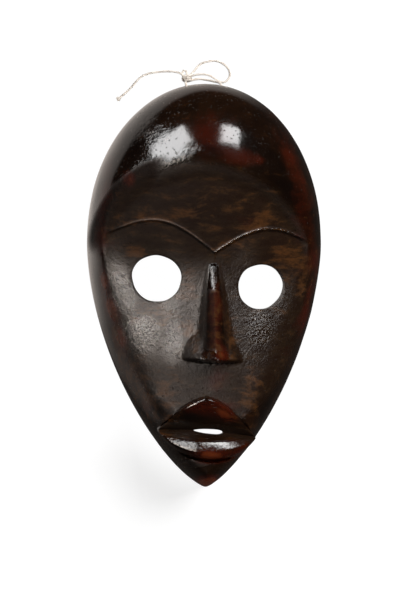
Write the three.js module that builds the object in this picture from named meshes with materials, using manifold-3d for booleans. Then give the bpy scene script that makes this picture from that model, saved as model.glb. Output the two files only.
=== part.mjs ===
// A carved wooden face mask, hollow behind, with a twine tied through two holes in its upper rim.
// Millimetres. The mask lies on the flat back of its rim in z = 0 and looks up along +Z,
// with its forehead towards +Y. The origin is the middle of its length and width, on that back.
import * as THREE from 'three';
import { mergeVertices } from 'three/addons/utils/BufferGeometryUtils.js';
import Module from 'manifold-3d';

const wasm = await Module();
wasm.setup();

// Driving sizes of the mask. The carving keeps its proportions as shares of LENGTH, WIDTH and DEPTH.
const LENGTH = 240;
const WIDTH = 140;
const DEPTH = 48;
const WALL = 9;
const RIM_SIDE = 9;
const RIM_TOP = 10;
const RIM_CHIN = 17;
const EYE_LEFT = { across: 29.8, along: 27.7 };
const EYE_RIGHT = { across: 27.8, along: 26.5 };
const MOUTH_SLOT = { across: 17.4, along: 4 };

// Driving sizes of the twine and of what holds it
const TWINE = 1.3;
const TWINE_HOLE = 3.6;
const TWINE_HOLE_SPACING = 21.2;
const TWINE_HOLE_HEIGHT = 6;
const KNOT_SIZE = 4.8;
const END_KNOT_SIZE = 2.6;
const GAP = 0.35;

// How wide a crisp carved edge is, and the bead along the upper lip
const EDGE = 1.5;
const LIP_BEAD = { wide: 1, drop: 1.7 };

// The smallest facets' size along the mask, and how far a facet may stray from the surface
const FACE_FACET = 0.94;
const FACE_STRAY = 0.36;
const HOLLOW_FACET = 3.75;
const HOLLOW_STRAY = 0.45;

// Shares turned into lengths along, across and out of the face
const along = (share) => share * LENGTH;
const across = (share) => share * WIDTH;
const out = (share) => share * DEPTH;

// The outline: two superellipse halves that meet at the widest place, rounder above than below
const WIDEST_Y = along(0.102);
const TOP_REACH = LENGTH / 2 - WIDEST_Y;
const CHIN_REACH = LENGTH / 2 + WIDEST_Y;
const ABOVE = { x: 1, y: 0.952 };
const BELOW = { x: 1.5, y: 1.143 };
const CHIN_ROUNDNESS = 0.1;

// The features sit a little askew: the face's own level line rises to the left by this slope
const FACE_SKEW = 0.077;

// Places of the features, y measured along the face's own axis
const FOREHEAD = { y: along(0.292), spread: along(0.175), rise: out(0.26) };
const CHIN = { y: along(-0.417), spread: along(0.175), rise: out(0.146) };
const PLANE = { y: along(0.074), halfX: across(0.439), up: along(0.223), down: along(0.417), depth: out(0.031) };
const BROW = {
  x: across(0.032),
  y: along(0.081),
  rise: along(0.0667),
  span: across(0.243),
  step: { left: out(0.019), right: out(0.029) },
  farthest: 3,
  ease: 0.5,
};
const NOSE = {
  x: across(0.0243),
  lean: across(0.0064),
  top: along(0.0604),
  bottom: along(-0.1825),
  bridge: 0.29,
  blunt: across(0.009),
  tilt: 0.045,
};
const EYES = [
  { x: across(-0.2136), y: along(0.0167), opening: EYE_LEFT },
  { x: across(0.2286), y: along(-0.004), opening: EYE_RIGHT },
];
const MOUTH = { x: across(-0.0014), y: along(-0.3646), half: across(0.2057), up: along(0.09), down: along(0.0683) };
const LOWER_LIP = { crest: 0.3, tilt: 0.12, swell: 0.36, swellRise: out(0.034), fall: 0.68, peak: -0.2 };
const SLOT = { x: across(0.0036), y: along(-0.3583) };

// Small helpers of the height functions
const clamp = (t, low, high) => Math.min(Math.max(t, low), high);
const bell = (t, spread) => Math.exp(-((t / spread) ** 2));
const softMax = (a, b, blend) => 0.5 * (a + b + Math.hypot(a - b, blend));
const softMin = (a, b, blend) => -softMax(-a, -b, blend);

function ramp(low, high, t) {
  const s = clamp((t - low) / (high - low), 0, 1);
  return s * s * (3 - 2 * s);
}

// The outline's point in the direction of the disc point (u, v), with that direction
function outlineToward(u, v) {
  const reach = Math.hypot(u, v);
  const c = reach < 1e-9 ? 1 : u / reach;
  const s = reach < 1e-9 ? 0 : v / reach;
  const power = s >= 0 ? ABOVE : BELOW;
  const length = s >= 0 ? TOP_REACH : CHIN_REACH;
  const narrowing = (Math.hypot(c, CHIN_ROUNDNESS) / Math.hypot(1, CHIN_ROUNDNESS)) ** (power.x - 1);
  return {
    x: (WIDTH / 2) * c * narrowing,
    y: length * Math.sign(s) * Math.abs(s) ** power.y,
    turn: Math.asin(s) / (Math.PI / 2),
  };
}

// How far in from the outline the wall takes to turn into the face: narrow beside the eyes,
// broad over the forehead and along the lower cheeks
function rollWidth(turn) {
  const high = clamp(turn, 0, 1);
  const low = clamp(-turn, 0, 1);
  const side = across(0.0714);
  const top = along(0.117) * high ** 1.35;
  const cheek = across(0.1) * Math.sin(Math.PI * low ** 0.8) ** 2 + across(0.0286) * low;
  return side + (turn >= 0 ? top : cheek);
}

// How boxy that turn is: 2 is an ellipse
function rollSquareness(turn) {
  const high = clamp(turn, 0, 1);
  const low = clamp(-turn, 0, 1);
  return 2.1 + 1.9 * high ** 1.2 + 0.8 * low;
}

function rolled(distance, width, power) {
  const k = clamp(1 - distance / width, 0, 1);
  return (1 - k ** power) ** (1 / power);
}

// The face before anything is cut into it
function crown(x, y) {
  const middle = DEPTH
    + FOREHEAD.rise * bell(y - FOREHEAD.y, FOREHEAD.spread)
    + CHIN.rise * bell(y - CHIN.y, CHIN.spread);
  const bend = 0.347
    + 0.265 * ramp(along(0.083), along(0.375), y)
    + 0.347 * ramp(along(-0.042), along(-0.3125), y);
  return middle - bend * DEPTH * (2 * x / WIDTH) ** 2;
}

// The flat plane of the face lies under the ridge that runs round its sides and under the forehead
function planeDrop(x, y) {
  const reach = y > PLANE.y ? PLANE.up : PLANE.down;
  const inward = 1 - Math.hypot(x / PLANE.halfX, (y - PLANE.y) / reach);
  const high = ramp(along(0.0625), along(0.271), y);
  const inside = ramp(-0.35, 1, inward / (0.075 + 0.13 * high));
  const fade = ramp(along(-0.3125), along(0.0208), y);
  return PLANE.depth * (1 + 1.8 * high) * inside * fade;
}

// Two arched brows that meet in a V, each a sine wave's bow that runs out level at its far end:
// the face steps down under them
function browHeight(x, y) {
  const angle = (Math.PI / 2) * (Math.abs(x - BROW.x) / BROW.span);
  const arch = -softMax(-angle, -BROW.farthest, BROW.ease);
  const below = BROW.y + BROW.rise * Math.sin(arch) - y;
  const step = ramp(-0.4 * EDGE, 0.6 * EDGE, below) * Math.exp(-Math.max(below, 0) / along(0.05));
  const drop = x < BROW.x ? BROW.step.left : BROW.step.right;
  return -drop * step * ramp(across(0.443), across(0.371), Math.abs(x));
}

// A rounded wedge on a low mound, which rises fast from between the eyes, and a wing on each side
// of its foot
function noseHeight(x, y) {
  const t = clamp((NOSE.top - y) / (NOSE.top - NOSE.bottom), 0, 1);
  const side = x - NOSE.x - NOSE.lean * t;
  const off = Math.abs(side);
  const bridge = 1 - softMax(1 - t / NOSE.bridge, 0, 0.15);
  const wedgeHalf = across(0.022 + 0.072 * t ** 0.8);
  const beside = Math.max(off - NOSE.blunt, 0);
  const wedge = out(0.02 + 0.045 * bridge + 0.13 * t) * clamp(1 - (beside / wedgeHalf) ** 2, 0, 1) ** 2;
  const moundHalf = across(0.07 + 0.07 * t);
  const mound = out(0.02 + 0.12 * t ** 1.3) * clamp(1 - off / moundHalf, 0, 1) ** 2;
  const ridge = (wedge + mound) * ramp(NOSE.top + along(0.004), NOSE.top - along(0.0125), y);
  const wingAcross = across(side < 0 ? 0.11 : 0.09);
  const wingAlong = along(side < 0 ? 0.075 : 0.065);
  const wx = Math.max(off - across(0.03), 0) / wingAcross;
  const wy = Math.max(y - NOSE.bottom, 0) / wingAlong;
  const wing = out(0.22 - 0.05 * wx) * clamp(1 - (wx ** 2 + wy ** 1.6), 0, 1) ** 0.9;
  const above = y - NOSE.bottom - along(0.005) * (side / across(0.143)) ** 2 - NOSE.tilt * side;
  const flare = 1 + 0.09 * (1 - ramp(0, along(0.02), above));
  const joined = Math.max(softMax(ridge, wing, EDGE) - EDGE / 2, 0);
  return joined * flare * ramp(-1.5 * EDGE, 0.4 * EDGE, above);
}

// The pouting mouth, laid over the face and bent round it: an upper lip that leans back to the
// mouth line, and a full round lower one
function withLips(x, y, base) {
  const aside = Math.min(Math.abs((x - MOUTH.x) / MOUTH.half), 1.3);
  const mid = clamp(1 - aside ** 2, 0, 1);
  const top = MOUTH.y + MOUTH.up * (0.93 * (1 - aside ** 1.6) + 0.07 * mid ** 0.5);
  const fullness = 0.9 * mid ** 0.85 + 0.1 * mid ** 0.5;
  const bottom = MOUTH.y - MOUTH.down * (aside < 1 ? fullness : 1 - aside);
  const line = MOUTH.y + along(0.0067) * mid;
  const corner = out(0.9);
  let lip;
  if (y > line) {
    const t = clamp((y - line) / Math.max(top - line, EDGE / 4), 0, 1);
    const bead = LIP_BEAD.drop * Math.exp(-Math.max(top - y, 0) / LIP_BEAD.wide);
    lip = corner + out(0.34) * mid - out(0.23 * mid + 0.03) * (1 - t) ** 1.4 - bead;
  } else {
    const t = clamp((line - y) / Math.max(line - bottom, EDGE / 4), 0, 1);
    const sideways = (x - MOUTH.x) / MOUTH.half;
    const crest = LOWER_LIP.crest - LOWER_LIP.tilt * sideways;
    const inner = softMin(t / crest, 1, 0.12);
    const outer = clamp((t - crest) / LOWER_LIP.swell, 0, 1);
    const swell = LOWER_LIP.swellRise * outer * (1 - outer / 8);
    const falling = sideways < LOWER_LIP.peak ? 0.15 : 0.09;
    const arch = out(0.11 - falling * Math.abs(sideways - LOWER_LIP.peak) ** 1.3);
    const past = Math.max(t - LOWER_LIP.fall, 0) / 0.34;
    const fall = 1 - Math.sqrt(clamp(1 - past ** 2, 0, 1));
    lip = corner + arch + out(0.17 * mid ** 0.35) * inner + swell - out(0.25) * fall;
  }
  const inward = Math.min((top - y) * 0.75, (y - bottom) * 0.9);
  return base + (Math.max(lip, base - out(0.25)) - base) * ramp(-0.3 * EDGE, 0.2 * EDGE, inward);
}

// The face's own y at a place on the mask
const faceY = (x, y) => y + FACE_SKEW * x;

// Height of the carved front over the rim's back
function frontHeight(x, y, distance, turn) {
  const level = faceY(x, y);
  const sockets = EYES.reduce((sum, eye) => sum + bell(Math.hypot(x - eye.x, y - eye.y), along(0.083)), 0);
  const plain = crown(x, y) - planeDrop(x, level) + browHeight(x, level) + noseHeight(x, level);
  const roll = rolled(distance, rollWidth(turn), rollSquareness(turn));
  return withLips(x, level, (plain - out(0.042) * sockets) * roll);
}

// Height of the hollow behind the face, one wall under it, deeper behind the nose and shallower
// behind the mouth, where the lips part
function hollowHeight(x, y, distance, turn) {
  const level = faceY(x, y);
  const behindNose = out(0.12) * bell(x - NOSE.x, across(0.11)) * bell(level + along(0.11), along(0.1));
  const behindMouth = -out(0.125) * bell(x, across(0.14)) * bell(level - MOUTH.y, along(0.06));
  const ceiling = crown(x, y) - planeDrop(x, level) - WALL + behindNose + behindMouth;
  return ceiling * rolled(distance, 0.75 * rollWidth(turn) + across(0.1), 0.5 + 0.75 * rollSquareness(turn));
}

// Width of the rim's back in a direction
function rimWidth(turn) {
  const high = clamp(turn, 0, 1);
  const low = clamp(-turn, 0, 1);
  return RIM_SIDE + (RIM_TOP - RIM_SIDE) * high ** 2 + (RIM_CHIN - RIM_SIDE) * low ** 3;
}

// A place on the domed surface over the outline drawn in by inset(turn), for a and b from -1 to 1
function domePoint(a, b, inset, height) {
  const spread = (t, share) => (1 - share) * t + share * Math.sin((Math.PI / 2) * t);
  const sa = spread(a, 0.85);
  const sb = spread(b, 0.8);
  const u = sa * Math.sqrt(1 - (sb * sb) / 2);
  const v = sb * Math.sqrt(1 - (sa * sa) / 2);
  const edge = outlineToward(u, v);
  const radius = Math.hypot(edge.x, edge.y);
  const kept = 1 - inset(edge.turn) / radius;
  const q = Math.min(Math.hypot(u, v), 1);
  const x = q * kept * edge.x;
  const y = WIDEST_Y + q * kept * edge.y;
  const onEdge = Math.max(Math.abs(a), Math.abs(b)) === 1;
  return new THREE.Vector3(x, y, onEdge ? 0 : height(x, y, (1 - q) * kept * radius, edge.turn));
}

// Right triangles halved until none strays from the surface, finest where the carving is sharpest.
// point(a, b) gives the surface; the answer lists its points and the triangles' corners.
function dividedSurface(facet, stray, point) {
  const cells = 2 ** Math.round(Math.log2(LENGTH / facet));
  const row = cells + 1;
  const points = [];
  for (let j = 0; j < row; j += 1) {
    for (let i = 0; i < row; i += 1) points.push(point((2 * i) / cells - 1, (2 * j) / cells - 1));
  }
  const at = (i, j) => points[clamp(j, 0, cells) * row + clamp(i, 0, cells)];
  const kept = new Uint8Array(row * row);

  const strays = (ax, ay, bx, by, mx, my) => {
    const eastward = at(mx + 1, my).clone().sub(at(mx - 1, my));
    const northward = at(mx, my + 1).clone().sub(at(mx, my - 1));
    const normal = eastward.cross(northward).normalize();
    const chord = at(ax, ay).clone().add(at(bx, by)).multiplyScalar(0.5);
    return Math.abs(chord.sub(at(mx, my)).dot(normal)) > stray;
  };
  let marked = 0;
  const mark = (ax, ay, bx, by, cx, cy) => {
    if (Math.abs(ax - cx) + Math.abs(ay - cy) <= 1) return false;
    const mx = (ax + bx) / 2;
    const my = (ay + by) / 2;
    const left = mark(cx, cy, ax, ay, mx, my);
    const right = mark(bx, by, cx, cy, mx, my);
    const key = my * row + mx;
    if (!kept[key] && (left || right || strays(ax, ay, bx, by, mx, my))) {
      kept[key] = 1;
      marked += 1;
    }
    return kept[key] === 1;
  };
  let before;
  do {
    before = marked;
    mark(0, 0, cells, cells, cells, 0);
    mark(cells, cells, 0, 0, 0, cells);
  } while (marked > before);

  const triangles = [];
  const emit = (ax, ay, bx, by, cx, cy) => {
    const mx = (ax + bx) / 2;
    const my = (ay + by) / 2;
    if (Math.abs(ax - cx) + Math.abs(ay - cy) > 1 && kept[my * row + mx]) {
      emit(cx, cy, ax, ay, mx, my);
      emit(bx, by, cx, cy, mx, my);
    } else {
      triangles.push([[ax, ay], [bx, by], [cx, cy]].map(([i, j]) => j * row + i));
    }
  };
  emit(0, 0, cells, cells, cells, 0);
  emit(cells, cells, 0, 0, 0, cells);
  return { points, triangles, cells };
}

// A closed solid: the domed surface, and a flat or sunk floor fanned from its middle
function domeSolid({ points, triangles, cells }, floorZ) {
  const row = cells + 1;
  const positions = [];
  const push = (...corners) => corners.forEach((p) => positions.push(p.x, p.y, p.z));
  const upward = (a, b, c) => b.clone().sub(a).cross(c.clone().sub(a)).z >= 0;
  const onRim = (k) => k % row === 0 || k % row === cells || k < row || k >= cells * row;
  const middle = new THREE.Vector3(0, WIDEST_Y, floorZ);
  const used = new Set();
  for (const [a, b, c] of triangles) {
    const turned = upward(points[a], points[b], points[c]) ? [a, b, c] : [a, c, b];
    push(...turned.map((k) => points[k]));
    turned.filter(onRim).forEach((k) => used.add(k));
  }
  const angle = (k) => Math.atan2(points[k].y - WIDEST_Y, points[k].x);
  const ring = [...used].sort((a, b) => angle(a) - angle(b)).map((k) => points[k]);
  ring.forEach((p, k) => {
    const next = ring[(k + 1) % ring.length];
    const low = new THREE.Vector3(p.x, p.y, floorZ);
    const lowNext = new THREE.Vector3(next.x, next.y, floorZ);
    push(middle, lowNext, low);
    if (floorZ < 0) push(p, low, lowNext, p, lowNext, next);
  });
  const geometry = new THREE.BufferGeometry();
  geometry.setAttribute('position', new THREE.Float32BufferAttribute(positions, 3));
  return geometry;
}

function toManifold(geometry) {
  const bare = geometry.clone();
  bare.deleteAttribute('normal');
  bare.deleteAttribute('uv');
  const merged = mergeVertices(bare, 1e-4);
  const vertProperties = new Float32Array(merged.attributes.position.array);
  const triVerts = new Uint32Array(merged.index.array);
  return new wasm.Manifold(new wasm.Mesh({ numProp: 3, vertProperties, triVerts }));
}

function fromManifold(solid) {
  const { vertProperties, triVerts } = solid.getMesh();
  const geometry = new THREE.BufferGeometry();
  geometry.setAttribute('position', new THREE.BufferAttribute(vertProperties, 3));
  geometry.setIndex(new THREE.BufferAttribute(triVerts, 1));
  geometry.computeVertexNormals();
  return geometry;
}

// Cutters. Each runs well past both faces of the wall that it goes through.
const CUT_LENGTH = 2 * DEPTH;

function eyeCutter({ x, y, opening }) {
  const cutter = new THREE.CylinderGeometry(0.5, 0.5, CUT_LENGTH, 40);
  cutter.rotateX(Math.PI / 2);
  cutter.scale(opening.across, opening.along, 1);
  return cutter.translate(x, y, DEPTH);
}

function mouthCutter() {
  const cutter = new THREE.CylinderGeometry(0.5, 0.5, CUT_LENGTH, 24);
  cutter.rotateX(Math.PI / 2);
  cutter.scale(MOUTH_SLOT.across, MOUTH_SLOT.along, 1);
  return cutter.translate(SLOT.x, SLOT.y, DEPTH);
}

function twineHoleCutter(side) {
  const length = 3 * RIM_TOP;
  const cutter = new THREE.CylinderGeometry(TWINE_HOLE / 2, TWINE_HOLE / 2, length, 16);
  return cutter.translate((side * TWINE_HOLE_SPACING) / 2, LENGTH / 2 - RIM_TOP / 2, TWINE_HOLE_HEIGHT);
}

function maskGeometry() {
  const face = dividedSurface(FACE_FACET, FACE_STRAY, (a, b) => domePoint(a, b, () => 0, frontHeight));
  const hollow = dividedSurface(HOLLOW_FACET, HOLLOW_STRAY, (a, b) => domePoint(a, b, rimWidth, hollowHeight));
  const cutters = [
    domeSolid(hollow, -WALL),
    ...EYES.map(eyeCutter),
    mouthCutter(),
    twineHoleCutter(-1),
    twineHoleCutter(1),
  ];
  let solid = toManifold(domeSolid(face, 0));
  for (const cutter of cutters) solid = solid.subtract(toManifold(cutter));
  return fromManifold(solid);
}

// The twine. One end starts at the knot, makes the loop on the right, and comes back; from the
// knot the twine runs to the right-hand hole, behind the wall and out of the left-hand hole into
// the knot again, and its other end lies out to the left with a small knot on it.
const HOLE_X = TWINE_HOLE_SPACING / 2;
const LYING = TWINE / 2 + 0.1;
const KNOT = new THREE.Vector3(-HOLE_X, 123.6, KNOT_SIZE / 2);
const END_KNOT = new THREE.Vector3(-51.1, 111.7, END_KNOT_SIZE / 2);

// Where a stretch of twine meets a round knot, coming from a point
function meeting(knot, size, from) {
  const direction = from.clone().sub(knot).normalize();
  return knot.clone().addScaledVector(direction, size / 2 + GAP);
}

function route(points) {
  return points.map(([x, y, z]) => new THREE.Vector3(x, y, z));
}

const LOOP = route([
  [-5.6, 128.7, 1.8],
  [-2.5, 132.2, LYING],
  [1.4, 133.9, LYING],
  [7.0, 134.6, LYING],
  [11.8, 132.7, LYING],
  [14.7, 129.8, LYING],
  [15.7, 126.5, LYING],
  [14.7, 123.6, LYING],
  [12.3, 121.8, LYING],
  [9.6, 122.0, LYING],
  [6.8, 123.9, LYING],
  [2.3, 126.1, 1.6],
  [-3.8, 126.2, 3.4],
]);
const HANGER = route([
  [-5.6, 123.3, 1.2],
  [-2.2, 123.6, LYING],
  [2.3, 123.0, 1.3],
  [6.3, 122.0, 3.2],
  [9.2, 121.2, 5.0],
  [HOLE_X, 118.6, TWINE_HOLE_HEIGHT],
  [HOLE_X, 110.0, TWINE_HOLE_HEIGHT],
  [9.2, 107.2, 5.6],
  [4.8, 105.6, 4.6],
  [0, 105.2, 4.2],
  [-4.8, 105.6, 4.6],
  [-9.2, 107.2, 5.6],
  [-HOLE_X, 110.0, TWINE_HOLE_HEIGHT],
  [-HOLE_X, 118.4, TWINE_HOLE_HEIGHT],
]);
const TAIL = route([
  [-15.9, 127.6, 1.4],
  [-20.7, 128.2, LYING],
  [-26.4, 127.9, LYING],
  [-33.1, 126.8, LYING],
  [-37.9, 124.6, LYING],
  [-43.6, 118.4, LYING],
  [-47.6, 114.6, LYING],
]);

function twineGeometry(points) {
  const curve = new THREE.CatmullRomCurve3(points, false, 'centripetal');
  const section = new THREE.Shape();
  for (let k = 0; k < 8; k += 1) {
    const angle = (k / 8) * 2 * Math.PI;
    const corner = [(Math.cos(angle) * TWINE) / 2, (Math.sin(angle) * TWINE) / 2];
    if (k === 0) section.moveTo(...corner);
    else section.lineTo(...corner);
  }
  section.closePath();
  const steps = Math.round(curve.getLength() / (2.5 * TWINE));
  return new THREE.ExtrudeGeometry(section, { steps, extrudePath: curve, curveSegments: 1 });
}

function loopGeometry() {
  return twineGeometry([meeting(KNOT, KNOT_SIZE, LOOP[0]), ...LOOP, meeting(KNOT, KNOT_SIZE, LOOP.at(-1))]);
}

function hangerGeometry() {
  const start = meeting(KNOT, KNOT_SIZE, HANGER[0]);
  return twineGeometry([start, ...HANGER, meeting(KNOT, KNOT_SIZE, HANGER.at(-1))]);
}

function tailGeometry() {
  const start = meeting(KNOT, KNOT_SIZE, TAIL[0]);
  return twineGeometry([start, ...TAIL, meeting(END_KNOT, END_KNOT_SIZE, TAIL.at(-1))]);
}

function knotGeometry(place, size) {
  return new THREE.SphereGeometry(size / 2, 12, 8).translate(place.x, place.y, place.z);
}

const wood = new THREE.MeshStandardMaterial({ color: 0x2c1a12, roughness: 0.42, metalness: 0 });
const twine = new THREE.MeshStandardMaterial({ color: 0xe4d9c4, roughness: 0.9, metalness: 0 });

const group = new THREE.Group();

function addPart(name, geometry, material) {
  const mesh = new THREE.Mesh(geometry, material);
  mesh.name = name;
  group.add(mesh);
}

addPart('mask', maskGeometry(), wood);
addPart('twine_loop', loopGeometry(), twine);
addPart('twine_hanger', hangerGeometry(), twine);
addPart('twine_tail', tailGeometry(), twine);
addPart('twine_knot', knotGeometry(KNOT, KNOT_SIZE), twine);
addPart('twine_end_knot', knotGeometry(END_KNOT, END_KNOT_SIZE), twine);

export default group;
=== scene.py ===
import itertools
import math

import bpy
import numpy as np
from mathutils import Matrix, Vector


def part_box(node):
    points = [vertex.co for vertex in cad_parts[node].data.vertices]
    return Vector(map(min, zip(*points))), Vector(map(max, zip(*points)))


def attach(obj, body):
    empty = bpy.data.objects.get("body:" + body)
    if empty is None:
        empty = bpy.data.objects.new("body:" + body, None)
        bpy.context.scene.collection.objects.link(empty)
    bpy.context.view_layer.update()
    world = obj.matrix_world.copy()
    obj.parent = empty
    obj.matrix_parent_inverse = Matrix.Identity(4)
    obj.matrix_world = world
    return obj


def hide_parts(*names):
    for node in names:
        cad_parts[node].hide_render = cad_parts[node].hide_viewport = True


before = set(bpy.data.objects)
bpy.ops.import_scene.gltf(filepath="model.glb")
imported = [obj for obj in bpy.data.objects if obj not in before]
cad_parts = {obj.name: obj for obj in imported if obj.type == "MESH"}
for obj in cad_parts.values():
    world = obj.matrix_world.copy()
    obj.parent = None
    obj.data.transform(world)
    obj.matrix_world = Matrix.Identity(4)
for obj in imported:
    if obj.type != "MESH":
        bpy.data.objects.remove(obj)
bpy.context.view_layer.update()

MM = 0.001


def frame_size(node):
    """Length and width of a piece of the frame, in millimetres."""
    low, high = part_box(node)
    return (high.y - low.y) / MM, (high.x - low.x) / MM


# Driving sizes of the mask. The carving keeps its proportions as shares of the first three. EDGE is
# how wide a crisp carved edge is, and RIM_SOFT how far the back of the rim is rounded.
LENGTH, WIDTH = frame_size("mask")
DEPTH = 48.0
WALL = 9.0
RIM_SIDE = 9.0
RIM_TOP = 10.0
RIM_CHIN = 17.0
RIM_SOFT = 0.7
EDGE = 1.5

# Driving sizes of the twine and of its holes. PLY_REACH, from the twine's middle to a ply's, and
# PLY_RADIUS are shares of TWINE.
TWINE = 1.3
PLIES = 3
LAY_LENGTH = 4.6
PLY_REACH = 0.26
PLY_RADIUS = 0.29
SLUB = 1.6
TWINE_STEP = 0.4
FIBRE = {"spacing": 1.1, "start": 0.3, "length": 1.1, "thickness": 0.035}
TWINE_HOLE = 3.6
TWINE_HOLE_SPACING = 21.2
TWINE_HOLE_HEIGHT = 6.0
HOLE_X = TWINE_HOLE_SPACING / 2
LYING = TWINE / 2 + 0.1


def along(share):
    return share * LENGTH


def across(share):
    return share * WIDTH


def out(share):
    return share * DEPTH


def in_scene(name, data):
    """A new object in the scene that holds the data."""
    thing = bpy.data.objects.new(name, data)
    bpy.context.scene.collection.objects.link(thing)
    return thing


# The camera, as the photograph was taken: from 2.4 m over the mask, a little to its left. The
# picture's sizes are in pixels, and the camera's distance and target in metres.
PHOTO_SIZE = (410, 615)
PHOTO_CENTRE = (205.25, 285.25)
MM_PER_PIXEL = 0.5948
CAMERA_DISTANCE = 2.4
CAMERA_LEAN = math.radians(2.7)
CAMERA_TARGET = Vector((0, 0, 0.02))
SENSOR = 36.0


def aimed(thing, place, target, up):
    """Put a camera or a light at a place, looking at a target, with its top towards up."""
    back = (place - target).normalized()
    right = up.cross(back).normalized()
    top = back.cross(right)
    turn = Matrix((right, top, back)).transposed().to_4x4()
    thing.matrix_world = Matrix.Translation(place) @ turn


def make_camera():
    data = bpy.data.cameras.new("camera")
    camera = in_scene("camera", data)
    away = Vector((-math.sin(CAMERA_LEAN), 0, math.cos(CAMERA_LEAN)))
    aimed(camera, CAMERA_TARGET + CAMERA_DISTANCE * away, CAMERA_TARGET, Vector((0, 1, 0)))
    data.sensor_width = SENSOR
    data.lens = SENSOR * CAMERA_DISTANCE / (PHOTO_SIZE[1] * MM_PER_PIXEL * MM)
    data.shift_x = -(PHOTO_CENTRE[0] - PHOTO_SIZE[0] / 2) / PHOTO_SIZE[1]
    data.shift_y = -(PHOTO_SIZE[1] / 2 - PHOTO_CENTRE[1]) / PHOTO_SIZE[1]
    bpy.context.scene.camera = camera
    bpy.context.scene.view_settings.view_transform = "Standard"


make_camera()


# Node trees, written as nested calls
def add(tree, kind, inputs=None, out_socket=0, **settings):
    """Add a node, set or link its inputs, and give back one of its outputs."""
    node = tree.nodes.new(kind)
    for name, value in settings.items():
        setattr(node, name, value)
    for socket, value in (inputs or {}).items():
        if isinstance(value, bpy.types.NodeSocket):
            tree.links.new(value, node.inputs[socket])
        else:
            node.inputs[socket].default_value = value
    return node.outputs[out_socket]


def maths(tree, operation, *values):
    return add(tree, "ShaderNodeMath", dict(enumerate(values)), operation=operation)


def plus(tree, first, second):
    return maths(tree, "ADD", first, second)


def minus(tree, first, second):
    return maths(tree, "SUBTRACT", first, second)


def times(tree, first, second):
    return maths(tree, "MULTIPLY", first, second)


def greater(tree, first, second):
    return maths(tree, "MAXIMUM", first, second)


def vectors(tree, operation, *values, out_socket=0):
    return add(tree, "ShaderNodeVectorMath", dict(enumerate(values)), out_socket, operation=operation)


def scaled(tree, vector, scale):
    return add(tree, "ShaderNodeVectorMath", {0: vector, "Scale": scale}, operation="SCALE")


def between(tree, value, low, high, to_low=0.0, to_high=1.0):
    """A value from low to high turned softly into one from to_low to to_high, and held there."""
    inputs = {"Value": value, "From Min": low, "From Max": high, "To Min": to_low, "To Max": to_high}
    return add(tree, "ShaderNodeMapRange", inputs, interpolation_type="SMOOTHSTEP")


def blended(tree, share, first, second):
    """Two colours mixed by a share."""
    inputs = {0: share, 6: first, 7: second}
    return add(tree, "ShaderNodeMix", inputs, 2, data_type="RGBA")


def new_material(name):
    """A new material, its node tree and its shader."""
    material = bpy.data.materials.new(name)
    material.use_nodes = True
    return material, material.node_tree, material.node_tree.nodes["Principled BSDF"]


def noise(tree, where, size, detail=3.0, rough=0.55, stretch=None, out_socket=0):
    """Soft noise whose lumps are about a size in millimetres, longer along stretch."""
    if stretch:
        where = vectors(tree, "DIVIDE", where, stretch)
    inputs = {"Vector": where, "Scale": 1 / (size * MM), "Detail": detail, "Roughness": rough}
    return add(tree, "ShaderNodeTexNoise", inputs, out_socket)


# The twine. One end starts in the knot, makes the loop on the right, and comes back. From the knot
# the twine runs to the right-hand hole, behind the wall and out of the left-hand hole into the knot
# again, and its other end lies out to the left with a small knot on it.
LOOP = [
    (-5.6, 128.7, 1.8),
    (-2.5, 132.2, LYING),
    (1.4, 133.9, LYING),
    (7.0, 134.6, LYING),
    (11.8, 132.7, LYING),
    (14.7, 129.8, LYING),
    (15.7, 126.5, LYING),
    (14.7, 123.6, LYING),
    (12.3, 121.8, LYING),
    (9.6, 122.0, LYING),
    (6.8, 123.9, LYING),
    (2.3, 126.1, 1.6),
    (-3.8, 126.2, 3.4),
]
HANGER = [
    (-5.6, 123.3, 1.2),
    (-2.2, 123.6, LYING),
    (2.3, 123.0, 1.3),
    (6.3, 122.0, 3.2),
    (9.2, 121.2, 5.0),
    (HOLE_X, 118.6, TWINE_HOLE_HEIGHT),
    (HOLE_X, 110.0, TWINE_HOLE_HEIGHT),
    (9.2, 107.2, 5.6),
    (4.8, 105.6, 4.6),
    (0, 105.2, 4.2),
    (-4.8, 105.6, 4.6),
    (-9.2, 107.2, 5.6),
    (-HOLE_X, 110.0, TWINE_HOLE_HEIGHT),
    (-HOLE_X, 118.4, TWINE_HOLE_HEIGHT),
]
TAIL = [
    (-15.9, 127.6, 1.4),
    (-20.7, 128.2, LYING),
    (-26.4, 127.9, LYING),
    (-33.1, 126.8, LYING),
    (-37.9, 124.6, LYING),
    (-43.6, 118.4, LYING),
    (-47.6, 114.6, LYING),
]
END_KNOT = (-51.1, 111.7, 1.3)

# How the twine goes through its knot between those stretches
INTO_LOOP = [(-9.4, 124.4, 3.0)]
ROUND_KNOT = [
    (-7.6, 125.4, 3.9),
    (-10.6, 125.6, 3.9),
    (-12.6, 124.3, 3.0),
    (-12.3, 122.6, 1.8),
    (-9.6, 122.2, 1.1),
]
INTO_TAIL = [(-10.9, 121.0, 4.4), (-11.5, 123.6, 2.6), (-13.0, 126.4, 1.6)]

# The turns that bind the knot, the small bight over it, and the knot in the twine's end
BINDING = {"centre": (-9.8, 124.0, 2.7), "radius": (2.1, 1.7), "turns": 2.25, "rise": 2.6}
BIGHT = [
    (-9.9, 123.4, 3.6),
    (-10.1, 126.3, 3.0),
    (-10.8, 128.4, 1.6),
    (-12.0, 128.7, 1.3),
    (-12.8, 126.8, 1.7),
    (-12.3, 124.6, 2.2),
]
END_KNOT_TURN = 0.31


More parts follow.
